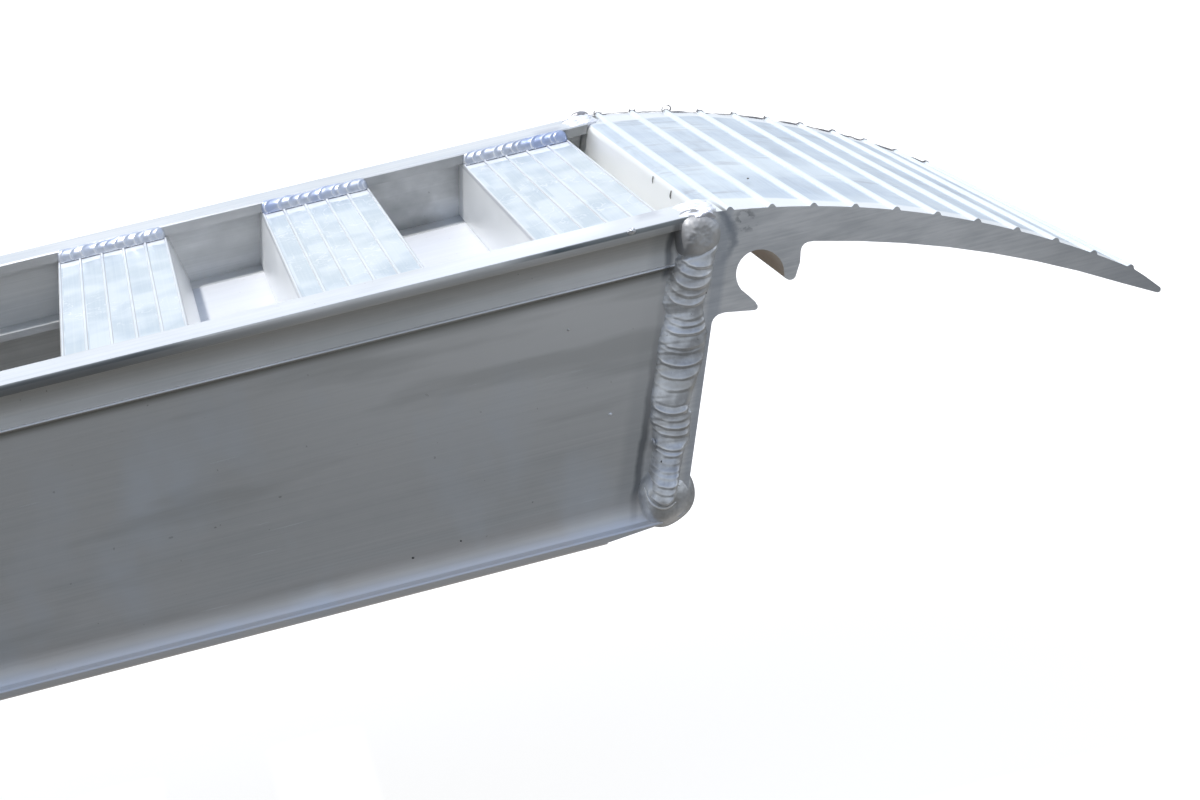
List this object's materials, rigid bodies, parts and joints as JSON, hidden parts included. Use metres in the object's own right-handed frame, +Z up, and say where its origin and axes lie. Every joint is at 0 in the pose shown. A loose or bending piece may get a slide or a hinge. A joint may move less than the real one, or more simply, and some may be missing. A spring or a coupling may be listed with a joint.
{
  "type": "folding loading ramp",
  "caption": "Two-section folding ladder ramp with tube rungs between extruded side rails, a ribbed hook plate with a bar pocket at the top end and a toe plate at the ground end",
  "frame": {"origin": "centre of the bounding box in plan, at the level of the rails' bottom faces, with the ramp lying flat and unfolded", "axes": "+X along the ramp towards the hook plate, +Y across it towards the left rail, +Z up out of the deck"},
  "size_m": [2.286, 0.3074, 0.12],
  "materials": {
    "rail_extrusion": "mill finish with fine lengthwise extrusion lines",
    "rung_tube": "bright mill finish",
    "hook_extrusion": "mill finish with ribbed top and saw-cut ends",
    "plate": "bright rolled sheet",
    "hinge_steel": "zinc plated"
  },
  "bodies": {
    "upper_section": {"hook_plate": "hook_extrusion", "stiffening_plate": "plate", "upper_left_rail": "rail_extrusion", "upper_right_rail": "rail_extrusion", "upper_rung_1": "rung_tube", "upper_rung_2": "rung_tube", "upper_rung_3": "rung_tube", "upper_rung_4": "rung_tube", "upper_rung_5": "rung_tube", "upper_rung_6": "rung_tube", "upper_rung_7": "rung_tube", "upper_rung_8": "rung_tube", "upper_rung_9": "rung_tube", "upper_rung_10": "rung_tube", "upper_left_pivot_bolt": "hinge_steel", "upper_left_pivot_washer": "hinge_steel", "upper_left_pivot_nut": "hinge_steel", "upper_right_pivot_bolt": "hinge_steel", "upper_right_pivot_washer": "hinge_steel", "upper_right_pivot_nut": "hinge_steel"},
    "hinge_links": {"left_outer_link": "hinge_steel", "left_inner_link": "hinge_steel", "right_outer_link": "hinge_steel", "right_inner_link": "hinge_steel"},
    "lower_section": {"toe_plate": "hook_extrusion", "lower_left_rail": "rail_extrusion", "lower_right_rail": "rail_extrusion", "lower_rung_1": "rung_tube", "lower_rung_2": "rung_tube", "lower_rung_3": "rung_tube", "lower_rung_4": "rung_tube", "lower_rung_5": "rung_tube", "lower_rung_6": "rung_tube", "lower_rung_7": "rung_tube", "lower_rung_8": "rung_tube", "lower_rung_9": "rung_tube", "lower_rung_10": "rung_tube", "lower_rung_11": "rung_tube", "lower_left_pivot_bolt": "hinge_steel", "lower_left_pivot_washer": "hinge_steel", "lower_left_pivot_nut": "hinge_steel", "lower_right_pivot_bolt": "hinge_steel", "lower_right_pivot_washer": "hinge_steel", "lower_right_pivot_nut": "hinge_steel"}
  },
  "joints": [
    {"name": "link_swing", "type": "hinge", "parent": "upper_section", "child": "hinge_links", "pos_m": [0.0497, 0, 0.028], "axis": [0, -1, 0], "range_deg": [0, 90]},
    {"name": "section_fold", "type": "hinge", "parent": "hinge_links", "child": "lower_section", "pos_m": [-0.0143, 0, 0.028], "axis": [0, -1, 0], "range_deg": [0, 90]}
  ],
  "couplings": [
    {"joint": "link_swing", "follows": "section_fold", "ratio": 1}
  ]
}
